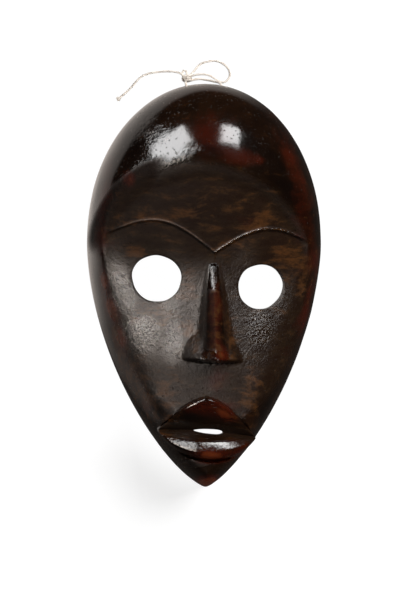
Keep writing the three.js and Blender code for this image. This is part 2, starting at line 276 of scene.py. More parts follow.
def smooth_route(points):
    """A smooth line through the points, as a centripetal spline, with a place every TWINE_STEP."""
    points = np.array(points, float)
    ends = [2 * points[0] - points[1], 2 * points[-1] - points[-2]]
    points = np.vstack([ends[0], points, ends[1]])
    line = []
    for k in range(1, len(points) - 2):
        p = points[k - 1:k + 3]
        t = np.concatenate([[0], np.cumsum(np.linalg.norm(np.diff(p, axis=0), axis=1) ** 0.5)])
        count = max(2, math.ceil(np.linalg.norm(p[2] - p[1]) / TWINE_STEP))
        s = np.linspace(t[1], t[2], count, endpoint=False)[:, None]

        def part(a, b, u, v):
            return (v - s) / (v - u) * a + (s - u) / (v - u) * b

        a1, a2, a3 = (part(p[i], p[i + 1], t[i], t[i + 1]) for i in range(3))
        b1, b2 = part(a1, a2, t[0], t[2]), part(a2, a3, t[1], t[3])
        line.append(part(b1, b2, t[1], t[2]))
    return np.vstack([*line, points[-2]])


def binding_route():
    """The turns round the knot: a helix whose axis lies along the bundle."""
    turns = np.linspace(0, BINDING["turns"] * 2 * math.pi, 40)
    centre, radius = BINDING["centre"], BINDING["radius"]
    rise = BINDING["rise"] * (turns / turns[-1] - 0.5)
    points = [
        centre[0] + radius[0] * np.cos(turns),
        centre[1] + rise,
        centre[2] + radius[1] * np.sin(turns),
    ]
    return np.stack(points, axis=1)


def end_knot_route():
    """An overhand knot, as a trefoil whose two ends run out towards the tail and a short stub."""
    t = np.linspace(0.35, 2 * math.pi - 0.35, 48)
    x = np.sin(t) + 2 * np.sin(2 * t)
    y = np.cos(t) - 2 * np.cos(2 * t)
    z = -np.sin(3 * t)
    turn = END_KNOT_TURN * np.stack([x, y, z], axis=1)
    return turn + np.array(END_KNOT) - (0, 0, 0.15)


def group_inputs(tree, named):
    """Give a node tree its named inputs, and its geometry in and out."""
    tree.interface.new_socket("Geometry", in_out="OUTPUT", socket_type="NodeSocketGeometry")
    tree.interface.new_socket("Geometry", in_out="INPUT", socket_type="NodeSocketGeometry")
    for name, kind in named.items():
        tree.interface.new_socket(name, in_out="INPUT", socket_type=kind)
    return tree.nodes.new("NodeGroupInput").outputs


def finish_tree(tree, geometry, material):
    realized = add(tree, "GeometryNodeRealizeInstances", {0: geometry})
    coated = add(tree, "GeometryNodeSetMaterial", {"Geometry": realized, "Material": material})
    tree.links.new(coated, tree.nodes.new("NodeGroupOutput").inputs[0])


def twisted_twine_tree():
    """Plies laid round the line that comes in, each a soft tube of uneven thickness."""
    tree = bpy.data.node_groups.new("twisted twine", "GeometryNodeTree")
    named = {
        "Diameter": "NodeSocketFloat",
        "Plies": "NodeSocketInt",
        "Lay length": "NodeSocketFloat",
        "Step": "NodeSocketFloat",
        "Sides": "NodeSocketInt",
        "Material": "NodeSocketMaterial",
    }
    given = group_inputs(tree, named)
    line = add(tree, "GeometryNodeMeshToCurve", {"Mesh": given["Geometry"]})
    even = {"Curve": line, "Length": given["Step"]}
    line = add(tree, "GeometryNodeResampleCurve", even, mode="LENGTH")
    plies = tree.nodes.new("GeometryNodeDuplicateElements")
    plies.domain = "SPLINE"
    tree.links.new(line, plies.inputs["Geometry"])
    tree.links.new(given["Plies"], plies.inputs["Amount"])

    length = add(tree, "GeometryNodeSplineParameter", out_socket=1)
    laid = maths(tree, "DIVIDE", length, given["Lay length"])
    ply = maths(tree, "DIVIDE", plies.outputs["Duplicate Index"], given["Plies"])
    angle = times(tree, plus(tree, laid, ply), math.tau)
    normal = add(tree, "GeometryNodeInputNormal")
    side = vectors(tree, "CROSS_PRODUCT", add(tree, "GeometryNodeInputTangent"), normal)
    reach = times(tree, given["Diameter"], PLY_REACH)
    offset = vectors(
        tree,
        "ADD",
        scaled(tree, normal, times(tree, maths(tree, "COSINE", angle), reach)),
        scaled(tree, side, times(tree, maths(tree, "SINE", angle), reach)),
    )
    moved = {"Geometry": plies.outputs["Geometry"], "Offset": offset}
    strands = add(tree, "GeometryNodeSetPosition", moved)
    slubs = add(tree, "ShaderNodeTexNoise", {"Scale": 1 / (SLUB * MM), "Detail": 1.0})
    uneven = between(tree, slubs, 0.3, 0.7, 0.86, 1.12)
    strands = add(tree, "GeometryNodeSetCurveRadius", {"Curve": strands, "Radius": uneven})
    ply_radius = times(tree, given["Diameter"], PLY_RADIUS)
    round_ply = {"Resolution": given["Sides"], "Radius": ply_radius}
    profile = add(tree, "GeometryNodeCurvePrimitiveCircle", round_ply)
    swept = {"Curve": strands, "Profile Curve": profile, "Scale": uneven, "Fill Caps": True}
    tubes = add(tree, "GeometryNodeCurveToMesh", swept)
    finish_tree(tree, add(tree, "GeometryNodeSetShadeSmooth", {0: tubes}), given["Material"])
    return tree


def loose_fibre_tree():
    """Short stray fibres that stand off the line that comes in, none below the floor."""
    tree = bpy.data.node_groups.new("loose fibres", "GeometryNodeTree")
    named = {
        "Spacing": "NodeSocketFloat",
        "Start radius": "NodeSocketFloat",
        "Length": "NodeSocketFloat",
        "Thickness": "NodeSocketFloat",
        "Seed": "NodeSocketInt",
        "Material": "NodeSocketMaterial",
    }
    given = group_inputs(tree, named)
    line = add(tree, "GeometryNodeMeshToCurve", {"Mesh": given["Geometry"]})
    spots = {"Curve": line, "Length": given["Spacing"]}
    points = add(tree, "GeometryNodeCurveToPoints", spots, mode="LENGTH")
    root = add(tree, "ShaderNodeCombineXYZ", {2: given["Start radius"]})
    half = times(tree, given["Length"], 0.5)
    middle = add(tree, "ShaderNodeCombineXYZ", {0: times(tree, half, 0.7), 2: half})
    tip = add(tree, "ShaderNodeCombineXYZ", {0: given["Length"], 2: half})
    bend = {"Start": root, "Middle": middle, "End": tip, "Resolution": 4}
    fibre = add(tree, "GeometryNodeCurveQuadraticBezier", bend)
    turn = random_vector(tree, given["Seed"], (0, 0, 0), (math.tau, math.tau, math.tau))
    size = random_vector(tree, given["Seed"], (0.4, 0.4, 0.4), (1.0, 1.0, 1.0))
    placed = {"Points": points, "Instance": fibre, "Rotation": turn, "Scale": size}
    fibres = add(tree, "GeometryNodeInstanceOnPoints", placed)
    fibres = add(tree, "GeometryNodeRealizeInstances", {0: fibres})
    thin = {"Resolution": 3, "Radius": given["Thickness"]}
    profile = add(tree, "GeometryNodeCurvePrimitiveCircle", thin)
    swept = {"Curve": fibres, "Profile Curve": profile, "Fill Caps": True}
    tubes = add(tree, "GeometryNodeCurveToMesh", swept)
    here = add(tree, "GeometryNodeInputPosition")
    raised = vectors(tree, "MAXIMUM", here, (-1, -1, 0.02 * MM))
    tubes = add(tree, "GeometryNodeSetPosition", {"Geometry": tubes, "Position": raised})
    finish_tree(tree, tubes, given["Material"])
    return tree


def random_vector(tree, seed, low, high):
    inputs = {"Min": low, "Max": high, "Seed": seed}
    return add(tree, "FunctionNodeRandomValue", inputs, data_type="FLOAT_VECTOR")


def line_mesh(name, points):
    """A bare line of edges through points given in millimetres."""
    mesh = bpy.data.meshes.new(name)
    count = len(points)
    edges = [(k, k + 1) for k in range(count - 1)]
    mesh.from_pydata((np.array(points) * MM).tolist(), edges, [])
    return in_scene(name, mesh)


def set_input(modifier, tree, name, value):
    """Set a modifier's input by the identifier of the socket with that name."""
    sockets = [s for s in tree.interface.items_tree if s.item_type == "SOCKET" and s.in_out == "INPUT"]
    socket = next(s for s in sockets if s.name == name)
    modifier[socket.identifier] = value


def grown(name, lines, tree, inputs):
    """The plain meshes that a node tree makes on several lines."""
    meshes = []
    for points in lines:
        source = line_mesh(name + "_line", points)
        modifier = source.modifiers.new("growth", "NODES")
        modifier.node_group = tree
        for key, value in inputs.items():
            set_input(modifier, tree, key, value)
        evaluated = source.evaluated_get(bpy.context.evaluated_depsgraph_get())
        meshes.append(bpy.data.meshes.new_from_object(evaluated))
        source.modifiers.remove(modifier)
        bpy.data.objects.remove(source)
    return meshes


def joined(name, meshes):
    """One object at the origin that holds several meshes."""
    things = [in_scene(name, mesh) for mesh in meshes]
    with bpy.context.temp_override(
        active_object=things[0], selected_editable_objects=things, selected_objects=things
    ):
        if len(things) > 1:
            bpy.ops.object.join()
    things[0].name = name
    things[0].data.name = name
    return things[0]


TWINE_PALE = (0.98, 0.93, 0.87, 1)
TWINE_DARK = (0.8, 0.7, 0.6, 1)
TWINE_SOILED = (0.62, 0.52, 0.43, 1)


def twine_material():
    """Undyed cotton twine: pale, matt, with fine fibres that run with the twist, a little soiled."""
    material, tree, shader = new_material("undyed_twine")
    where = add(tree, "ShaderNodeTexCoord", out_socket=3)
    soil = between(tree, noise(tree, where, 5.0), 0.5, 0.72)
    strands = noise(tree, where, 0.25, detail=2.0)
    pale = blended(tree, between(tree, strands, 0.3, 0.75), TWINE_DARK, TWINE_PALE)
    colour = blended(tree, soil, pale, TWINE_SOILED)
    tree.links.new(colour, shader.inputs["Base Color"])
    shader.inputs["Roughness"].default_value = 0.85
    shader.inputs["Sheen Weight"].default_value = 0.3
    bump = {"Strength": 0.5, "Distance": 0.05 * MM, "Height": strands}
    tree.links.new(add(tree, "ShaderNodeBump", bump), shader.inputs["Normal"])
    return material


def make_twine():
    """The cord with its stray fibres, the binding round its knot, and the knot in its end."""
    material = twine_material()
    route = smooth_route(INTO_LOOP + LOOP + ROUND_KNOT + HANGER + INTO_TAIL + TAIL + [END_KNOT])
    plies = twisted_twine_tree()
    laid = {
        "Diameter": TWINE * MM,
        "Plies": PLIES,
        "Lay length": LAY_LENGTH * MM,
        "Step": TWINE_STEP * MM,
        "Sides": 9,
        "Material": material,
    }
    fibres = loose_fibre_tree()
    stray = {
        "Spacing": FIBRE["spacing"] * MM,
        "Start radius": FIBRE["start"] * MM,
        "Length": FIBRE["length"] * MM,
        "Thickness": FIBRE["thickness"] * MM,
        "Seed": 11,
        "Material": material,
    }
    cord = joined("twine", grown("ply", [route], plies, laid) + grown("fuzz", [route], fibres, stray))
    knot = joined("twine_binding", grown("turn", [smooth_route(BIGHT), binding_route()], plies, laid))
    end_knot = joined("twine_end_binding", grown("turn", [end_knot_route()], plies, laid))
    pieces = [
        (cord, ("twine_loop", "twine_hanger", "twine_tail")),
        (knot, ("twine_knot",)),
        (end_knot, ("twine_end_knot",)),
    ]
    for piece, nodes in pieces:
        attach(piece, "root")
        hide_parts(*nodes)


make_twine()
bpy.context.scene.view_layers[0].update()


# Soft steps and swells, for whole arrays of places
def ramp(low, high, value):
    share = np.clip((value - low) / (high - low), 0.0, 1.0)
    return share * share * (3 - 2 * share)


def bell(value, spread):
    return np.exp(-((value / spread) ** 2))


def soft_max(first, second, blend):
    return 0.5 * (first + second + np.hypot(first - second, blend))


def soft_min(first, second, blend):
    return -soft_max(-first, -second, blend)


# The outline: two superellipse halves that meet at the widest place, rounder above than below
WIDEST_Y = along(0.102)
TOP_REACH = LENGTH / 2 - WIDEST_Y
CHIN_REACH = LENGTH / 2 + WIDEST_Y
ABOVE = {"x": 1.0, "y": 0.952}
BELOW = {"x": 1.5, "y": 1.143}
CHIN_ROUNDNESS = 0.1

# The features sit a little askew: the face's own level line rises to the left by this slope
FACE_SKEW = 0.077

# Places and sizes of the features, y measured along the face's own axis
FOREHEAD = {"y": along(0.292), "spread": along(0.175), "rise": out(0.26)}
CHIN = {"y": along(-0.417), "spread": along(0.175), "rise": out(0.146)}
BEND = {"least": 0.347, "more_above": 0.265, "more_below": 0.347}
PLANE = {
    "y": along(0.074),
    "half": across(0.439),
    "up": along(0.223),
    "down": along(0.417),
    "depth": out(0.031),
    "deeper_above": 1.8,
    "edge": 0.075,
    "softer_above": 0.13,
}
BROW = {
    "x": across(0.032),
    "y": along(0.081),
    "rise": along(0.0667),
    "span": across(0.243),
    "farthest": 3.0,
    "ease": 0.5,
    "step_left": out(0.019),
    "step_right": out(0.029),
    "crest": 0.55,
}
NOSE = {
    "x": across(0.0243),
    "lean": across(0.0064),
    "top": along(0.0604),
    "bottom": along(-0.1825),
    "bridge": 0.29,
    "blunt": across(0.009),
    "ridge_slope": 0.13,
    "tilt": 0.045,
    "flare": 0.09,
}
EYES = [
    {"x": across(-0.2136), "y": along(0.0167), "across": 29.8, "along": 27.7, "lean": (0.8, 0.5)},
    {"x": across(0.2286), "y": along(-0.004), "across": 27.8, "along": 26.5, "lean": (-0.4, 0.4)},
]
MOUTH = {
    "x": across(-0.0014),
    "y": along(-0.3646),
    "half": across(0.2057),
    "up": along(0.09),
    "down": along(0.0683),
    "parting": along(0.0067),
    "corner": out(0.9),
    "edge_drop": out(0.25),
}
LIP_BEAD = {"wide": 1.0, "drop": 1.7}
LOWER_LIP = {
    "crest": 0.3,
    "tilt": 0.12,
    "swell": 0.36,
    "swell_rise": 0.036,
    "fuller_right": 0.006,
    "fall_from": 0.68,
    "fall_over": 0.34,
    "peak": -0.2,
}
SLOT = {"x": across(0.0036), "y": along(-0.3583), "across": 17.4, "along": 4.0}


def outline_toward(u, v):
    """The outline's x and y in the direction of a disc point, and the quarter turns above level."""
    reach = np.hypot(u, v)
    nowhere = reach < 1e-9
    c = np.where(nowhere, 1, u / np.maximum(reach, 1e-9))
    s = np.where(nowhere, 0, v / np.maximum(reach, 1e-9))
    above = s >= 0
    power_x = np.where(above, ABOVE["x"], BELOW["x"])
    power_y = np.where(above, ABOVE["y"], BELOW["y"])
    narrowing = (np.hypot(c, CHIN_ROUNDNESS) / math.hypot(1, CHIN_ROUNDNESS)) ** (power_x - 1)
    x = WIDTH / 2 * c * narrowing
    y = np.where(above, TOP_REACH, CHIN_REACH) * np.sign(s) * np.abs(s) ** power_y
    return x, y, np.arcsin(np.clip(s, -1, 1)) / (math.pi / 2)


def roll_width(turn):
    """How far in from the outline the wall takes to turn into the face."""
    high, low = np.clip(turn, 0, 1), np.clip(-turn, 0, 1)
    top = along(0.117) * high ** 1.35
    cheek = across(0.1) * np.sin(math.pi * low ** 0.8) ** 2 + across(0.0286) * low
    return across(0.0714) + np.where(turn >= 0, top, cheek)


def roll_squareness(turn):
    """How boxy the wall's turn into the face is: 2 is an ellipse."""
    high, low = np.clip(turn, 0, 1), np.clip(-turn, 0, 1)
    return 2.1 + 1.9 * high ** 1.2 + 0.8 * low


def rolled(distance, width, power):
    """The turn's height at a distance in from the outline, from 0 at the wall to 1 on the face."""
    k = np.clip(1 - distance / width, 0, 1)
    return (1 - k ** power) ** (1 / power)


def crown(x, y):
    """The face before anything is cut into it."""
    forehead = FOREHEAD["rise"] * bell(y - FOREHEAD["y"], FOREHEAD["spread"])
    chin = CHIN["rise"] * bell(y - CHIN["y"], CHIN["spread"])
    upper = BEND["more_above"] * ramp(along(0.083), along(0.375), y)
    lower = BEND["more_below"] * ramp(along(-0.042), along(-0.3125), y)
    bend = BEND["least"] + upper + lower
    return DEPTH + forehead + chin - bend * DEPTH * (2 * x / WIDTH) ** 2


def plane_inward(x, y):
    """How far inside the edge of the flat plane of the face a place is, less than 0 outside it."""
    reach = np.where(y > PLANE["y"], PLANE["up"], PLANE["down"])
    return 1 - np.hypot(x / PLANE["half"], (y - PLANE["y"]) / reach)


def above_brows(y):
    """How far up the forehead a place is, from 0 to 1."""
    return ramp(along(0.0625), along(0.271), y)


def plane_share(x, y):
    """How far inside the flat plane of the face a place is, from 0 to 1."""
    edge = PLANE["edge"] + PLANE["softer_above"] * above_brows(y)
    return ramp(-0.35, 1, plane_inward(x, y) / edge)


def plane_drop(x, y):
    """The plane lies under the ridge that runs round its sides and under the forehead."""
    deep = PLANE["depth"] * (1 + PLANE["deeper_above"] * above_brows(y))
    return deep * plane_share(x, y) * ramp(along(-0.3125), along(0.0208), y)


def brow_line(x):
    """The face's own y of the two arched brows, which meet in a V and run out level."""
    angle = math.pi / 2 * np.abs(x - BROW["x"]) / BROW["span"]
    return BROW["y"] + BROW["rise"] * np.sin(-soft_max(-angle, -BROW["farthest"], BROW["ease"]))


def brow_crest(x, y):
    """The narrow crest along the brows, from 0 to 1."""
    return bell(brow_line(x) - y + 0.5 * EDGE, 0.5 * EDGE)


def brow_height(x, y):
    """The face steps down under the brows."""
    below = brow_line(x) - y
    step = ramp(-0.4 * EDGE, 0.6 * EDGE, below) * np.exp(-np.maximum(below, 0) / along(0.05))
    drop = np.where(x < BROW["x"], BROW["step_left"], BROW["step_right"])
    fade = ramp(across(0.443), across(0.371), np.abs(x))
    return (BROW["crest"] * brow_crest(x, y) - drop * step) * fade


def nose_wedge(side, down):
    """The bar of the nose, blunt along its ridge, on a low mound."""
    off = np.abs(side)
    bridge = 1 - soft_max(1 - down / NOSE["bridge"], 0, 0.15)
    half = across(0.022 + 0.072 * down ** 0.8)
    beside = np.maximum(off - NOSE["blunt"], 0)
    wedge = out(0.02 + 0.045 * bridge + 0.13 * down) * np.clip(1 - (beside / half) ** 2, 0, 1) ** 2
    slope = NOSE["ridge_slope"] * np.minimum(side, NOSE["blunt"]) * np.clip(1 - beside / half, 0, 1)
    mound_half = across(0.07 + 0.07 * down)
    mound = out(0.02 + 0.12 * down ** 1.3) * np.clip(1 - off / mound_half, 0, 1) ** 2
    return wedge + slope + mound


def nose_wing(side, y):
    """A wing on each side of the foot of the nose, the left one the larger."""
    wing_x = np.maximum(np.abs(side) - across(0.03), 0) / across(np.where(side < 0, 0.11, 0.09))
    wing_y = np.maximum(y - NOSE["bottom"], 0) / along(np.where(side < 0, 0.075, 0.065))
    return out(0.22 - 0.05 * wing_x) * np.clip(1 - (wing_x ** 2 + wing_y ** 1.6), 0, 1) ** 0.9


def nose_height(x, y):
    """The nose rises fast from between the eyes, and is cut off level under its wings."""
    down = np.clip((NOSE["top"] - y) / (NOSE["top"] - NOSE["bottom"]), 0, 1)
    side = x - NOSE["x"] - NOSE["lean"] * down
    begun = ramp(NOSE["top"] + along(0.004), NOSE["top"] - along(0.0125), y)
    ridge = nose_wedge(side, down) * begun
    above = y - NOSE["bottom"] - along(0.005) * (side / across(0.143)) ** 2 - NOSE["tilt"] * side
    flare = 1 + NOSE["flare"] * (1 - ramp(0, along(0.02), above))
    whole = np.maximum(soft_max(ridge, nose_wing(side, y), EDGE) - EDGE / 2, 0)
    return whole * flare * ramp(-1.5 * EDGE, 0.4 * EDGE, above)


def mouth_lines(x):
    """Across the mouth: the share from its middle, and the y of its top, parting and bottom."""
    aside = np.minimum(np.abs((x - MOUTH["x"]) / MOUTH["half"]), 1.3)
    mid = np.clip(1 - aside ** 2, 0, 1)
    top = MOUTH["y"] + MOUTH["up"] * (0.93 * (1 - aside ** 1.6) + 0.07 * mid ** 0.5)
    fullness = 0.9 * mid ** 0.85 + 0.1 * mid ** 0.5
    bottom = MOUTH["y"] - MOUTH["down"] * np.where(aside < 1, fullness, 1 - aside)
    return mid, top, MOUTH["y"] + MOUTH["parting"] * mid, bottom


def upper_lip(y, mid, top, line):
    """The upper lip leans back from a bead along its top to the parting."""
    up = np.clip((y - line) / np.maximum(top - line, EDGE / 4), 0, 1)
    bead = LIP_BEAD["drop"] * np.exp(-np.maximum(top - y, 0) / LIP_BEAD["wide"])
    return MOUTH["corner"] + out(0.34) * mid - out(0.23 * mid + 0.03) * (1 - up) ** 1.4 - bead


def lower_lip(x, y, mid, line, bottom):
    """The lower lip rises to a crest, swells on below it and falls round to the chin."""
    down = np.clip((line - y) / np.maximum(line - bottom, EDGE / 4), 0, 1)
    sideways = (x - MOUTH["x"]) / MOUTH["half"]
    crest = LOWER_LIP["crest"] - LOWER_LIP["tilt"] * sideways
    inner = soft_min(down / crest, 1, 0.12)
    outer = np.clip((down - crest) / LOWER_LIP["swell"], 0, 1)
    fuller = LOWER_LIP["fuller_right"] * np.clip(2 * sideways, -0.5, 1)
    swell = out(LOWER_LIP["swell_rise"] + fuller) * outer * (1 - outer / 8)
    past = np.maximum(down - LOWER_LIP["fall_from"], 0) / LOWER_LIP["fall_over"]
    fall = MOUTH["edge_drop"] * (1 - np.sqrt(np.clip(1 - past ** 2, 0, 1)))
    falling = np.where(sideways < LOWER_LIP["peak"], 0.15, 0.09)
    arch = out(0.11 - falling * np.abs(sideways - LOWER_LIP["peak"]) ** 1.3)
    return MOUTH["corner"] + arch + out(0.17 * mid ** 0.35) * inner + swell - fall


def with_lips(x, y, base):
    """The pouting mouth, laid over the face: an upper lip that leans back, a full lower one."""
    mid, top, line, bottom = mouth_lines(x)
    lip = np.where(y > line, upper_lip(y, mid, top, line), lower_lip(x, y, mid, line, bottom))
    inward = np.minimum((top - y) * 0.75, (y - bottom) * 0.9)
    share = ramp(-0.3 * EDGE, 0.2 * EDGE, inward)
    return base + (np.maximum(lip, base - MOUTH["edge_drop"]) - base) * share


def eye_distance(x, y, eye):
    """How far outside an eye's opening a place is, less than 0 inside it."""
    half_x, half_y = eye["across"] / 2, eye["along"] / 2
    share = np.hypot((x - eye["x"]) / half_x, (y - eye["y"]) / half_y)
    return (share - 1) * (half_x + half_y) / 2


SOCKET = {"spread": along(0.083), "depth": out(0.042)}


def front_height(x, y, distance, turn):
    """Height of the carved front over the back of the rim."""
    level = y + FACE_SKEW * x
    sockets = sum(bell(np.hypot(x - eye["x"], y - eye["y"]), SOCKET["spread"]) for eye in EYES)
    plain = crown(x, y) - plane_drop(x, level) + brow_height(x, level) + nose_height(x, level)
    roll = rolled(distance, roll_width(turn), roll_squareness(turn))
    return with_lips(x, level, (plain - SOCKET["depth"] * sockets) * roll)


def hollow_height(x, y, distance, turn):
    """Height of the hollow behind the face, deeper behind the nose, shallower behind the mouth."""
    level = y + FACE_SKEW * x
    nose = out(0.12) * bell(x - NOSE["x"], across(0.11)) * bell(level + along(0.11), along(0.1))
    mouth = -out(0.125) * bell(x, across(0.14)) * bell(level - MOUTH["y"], along(0.06))
    ceiling = crown(x, y) - plane_drop(x, level) - WALL + nose + mouth
    width = 0.75 * roll_width(turn) + across(0.1)
    return ceiling * rolled(distance, width, 0.5 + 0.75 * roll_squareness(turn))


def rim_width(turn):
    """Width of the rim's flat back, broader at the top and broadest at the chin."""
    high, low = np.clip(turn, 0, 1), np.clip(-turn, 0, 1)
    return RIM_SIDE + (RIM_TOP - RIM_SIDE) * high ** 2 + (RIM_CHIN - RIM_SIDE) * low ** 3


# Unevenness of handwork
LATTICE = 32


def lumps(places, size, seed):
    """Smooth unevenness from -1 to 1 with lumps about a size across, at places in millimetres."""
    cells = places / size
    base = np.floor(cells).astype(int)
    part = cells - base
    part = part * part * (3 - 2 * part)
    table = np.random.default_rng(seed).uniform(-1, 1, (LATTICE,) * 3)
    total = np.zeros(places.shape[:-1])
    for corner in itertools.product((0, 1), repeat=3):
        weight = np.prod(np.where(corner, part, 1 - part), axis=-1)
        x, y, z = np.moveaxis((base + corner) % LATTICE, -1, 0)
        total += weight * table[x, y, z]
    return total


def scoops(x, y, size_x, size_y, seed):
    """Tool marks side by side: 0 at the middle of each, up to 1 where two meet."""
    u, v = x / size_x, y / size_y
    column, row = np.floor(u).astype(int), np.floor(v).astype(int)
    table = np.random.default_rng(seed).uniform(0, 1, (LATTICE, LATTICE, 2))
    nearest = np.full(np.shape(u), 9.0)
    for i, j in itertools.product((-1, 0, 1), repeat=2):
        middle = table[(column + i) % LATTICE, (row + j) % LATTICE]
        away = np.hypot(u - column - i - middle[..., 0], v - row - j - middle[..., 1])
        nearest = np.minimum(nearest, away)
    return np.minimum(nearest, 1) ** 2


def normals_of(places):
    """Unit normals of a grid of places."""
    normal = np.cross(np.gradient(places, axis=1), np.gradient(places, axis=0))
    return normal / np.maximum(np.linalg.norm(normal, axis=-1, keepdims=True), 1e-9)


def domed_grid(cells, inset, height, warp):
    """A grid of places on the domed surface over the outline drawn in by inset(turn)."""
    even = np.linspace(-1, 1, cells + 1)
    warped = (1 - warp) * even + warp * np.sin(math.pi / 2 * even)
    a, b = np.meshgrid(warped, warped)
    u, v = a * np.sqrt(1 - b * b / 2), b * np.sqrt(1 - a * a / 2)
    edge_x, edge_y, turn = outline_toward(u, v)
    radius = np.hypot(edge_x, edge_y)
    kept = 1 - inset(turn) / radius
    q = np.minimum(np.hypot(u, v), 1)
    x, y = q * kept * edge_x, WIDEST_Y + q * kept * edge_y
    z = height(x, y, (1 - q) * kept * radius, turn)
    z[[0, -1], :] = RIM_SOFT
    z[:, [0, -1]] = RIM_SOFT
    return np.stack([x, y, np.maximum(z, RIM_SOFT)], axis=-1)


def worked_face(places):
    """The front as the tool, the hand and long handling left it."""
    x, y, z = np.moveaxis(places, -1, 0)
    fade = ramp(RIM_SOFT, 4, z)
    plane = plane_share(x, y + FACE_SKEW * x)
    relief = 0.2 * lumps(places, 21, 3) + 0.1 * lumps(places, 8, 4)
    relief += plane * (0.05 * lumps(places, 3.2, 5) - 0.16 * scoops(x, y, 9, 7, 6))
    for eye in EYES:
        outside = np.maximum(eye_distance(x, y, eye), 0)
        relief -= 0.35 * np.clip(1 - outside / 0.7, 0, 1) ** 2
    return places + normals_of(places) * (relief * fade)[..., None]


def adzed_hollow(places):
    """The hollow, with the scoops of the adze left in it."""
    x, y, z = np.moveaxis(places, -1, 0)
    fade = ramp(RIM_SOFT, 5, z)
    relief = 0.8 * scoops(x, y + 0.3 * z, 11, 19, 7) - 0.3 + 0.25 * lumps(places, 15, 8)
    return places - normals_of(places) * (relief * fade)[..., None]


# Right triangles are halved until none strays from the surface, finest where the carving is sharpest
def divided(places, stray, coarsest):
    """Triangles, as rows of three flat grid indices, that follow a grid of places."""
    cells = len(places) - 1
    normal = normals_of(places)
    first = [[(0, 0), (cells, cells)], [(cells, cells), (0, 0)], [(cells, 0), (0, cells)]]
    levels = [np.array(first)]
    for _ in range(2 * int(math.log2(cells))):
        a, b, c = levels[-1]
        m = (a + b) // 2
        levels.append(np.stack([np.concatenate(pair) for pair in ((c, b), (a, c), (m, m))]))

    error = np.zeros(places.shape[:2])
    for a, b, c in reversed(levels[:-1]):
        m = (a + b) // 2
        (ai, aj), (bi, bj), (mi, mj) = a.T, b.T, m.T
        chord = (places[aj, ai] + places[bj, bi]) / 2 - places[mj, mi]
        own = np.abs(np.sum(chord * normal[mj, mi], axis=-1))
        if np.abs(a[0] - c[0]).max() > coarsest:
            own[:] = math.inf
        if np.abs(a[0] - c[0]).sum() > 1:
            for p, q in ((c, a), (b, c)):
                half = (p + q) // 2
                whole = ((p + q) % 2 == 0).all(axis=1)
                own = np.where(whole, np.maximum(own, error[half[:, 1], half[:, 0]]), own)
        np.maximum.at(error, (mj, mi), own)

    kept, current = [], levels[0]
    for _ in levels[:-1]:
        a, b, c = current
        m = (a + b) // 2
        split = error[m[:, 1], m[:, 0]] > stray
        kept.append(current[:, ~split])
        a, b, c, m = a[split], b[split], c[split], m[split]
        current = np.stack([np.concatenate(pair) for pair in ((c, b), (a, c), (m, m))])
    kept.append(current)
    a, b, c = np.concatenate(kept, axis=1)
    return np.stack([p[:, 1] * (cells + 1) + p[:, 0] for p in (a, c, b)], axis=1)


def closed_dome(places, triangles, rings):
    """A closed solid from a divided dome. Each ring lies outward from the edge, at a height."""
    row = places.shape[1]
    flat = places.reshape(-1, 3)
    used = np.unique(triangles)
    i, j = used % row, used // row
    edge = used[(i == 0) | (i == row - 1) | (j == 0) | (j == row - 1)]
    angle = np.arctan2(flat[edge, 1] - WIDEST_Y, flat[edge, 0])
    edge = edge[np.argsort(angle)]
    new_index = np.full(len(flat), -1)
    new_index[used] = np.arange(len(used))
    vertices = [flat[used]]
    faces = [new_index[triangles]]
    last = new_index[edge]
    count = len(edge)
    following = np.roll(np.arange(count), -1)
    border = flat[edge]
    outward = np.cross(np.roll(border, -1, axis=0) - np.roll(border, 1, axis=0), (0, 0, 1))
    outward /= np.linalg.norm(outward, axis=1, keepdims=True)
    total = len(used)
    for reach, height in rings:
        ring = border + outward * reach
        ring[:, 2] = height
        here = total + np.arange(count)
        faces.append(np.stack([last, here, here[following]], axis=1))
        faces.append(np.stack([last, here[following], last[following]], axis=1))
        vertices.append(ring)
        last = here
        total += count
    vertices.append(np.array([[0, WIDEST_Y, rings[-1][1]]]))
    faces.append(np.stack([last, np.full(count, total), last[following]], axis=1))
    return np.vstack(vertices), np.vstack(faces)


def solid_object(name, vertices, faces, material):
    """A closed mesh from arrays of vertices in millimetres and of triangles."""
    mesh = bpy.data.meshes.new(name)
    mesh.vertices.add(len(vertices))
    mesh.vertices.foreach_set("co", (np.asarray(vertices) * MM).astype(np.float32).ravel())
    mesh.loops.add(faces.size)
    mesh.loops.foreach_set("vertex_index", faces.astype(np.int32).ravel())
    mesh.polygons.add(len(faces))
    mesh.polygons.foreach_set("loop_start", np.arange(0, faces.size, 3, dtype=np.int32))
    mesh.update(calc_edges=True)
    mesh.validate()
    mesh.materials.append(material)
    return in_scene(name, mesh)


def prism(name, outline, low, high, lean, material):
    """A closed prism over an outline of x, y places, which leans by a shift from middle to top."""
    count = len(outline)
    shift = np.array([[lean[0], lean[1]]])
    bottom = np.hstack([outline - shift, np.full((count, 1), low)])
    top = np.hstack([outline + shift, np.full((count, 1), high)])
    k = np.arange(count)
    after = np.roll(k, -1)
    sides = [np.stack([k, after, after + count], axis=1), np.stack([k, after + count, k + count], axis=1)]
    fan = np.arange(1, count - 1)
    caps = [
        np.stack([np.zeros_like(fan), fan + 1, fan], axis=1),
        np.stack([np.full_like(fan, count), fan + count, fan + 1 + count], axis=1),
    ]
    return solid_object(name, np.vstack([bottom, top]), np.vstack(sides + caps), material)


# How far the cutters of the eyes and of the twine's holes reach on each side of their middles
EYE_REACH = 30.0
HOLE_REACH = 15.0


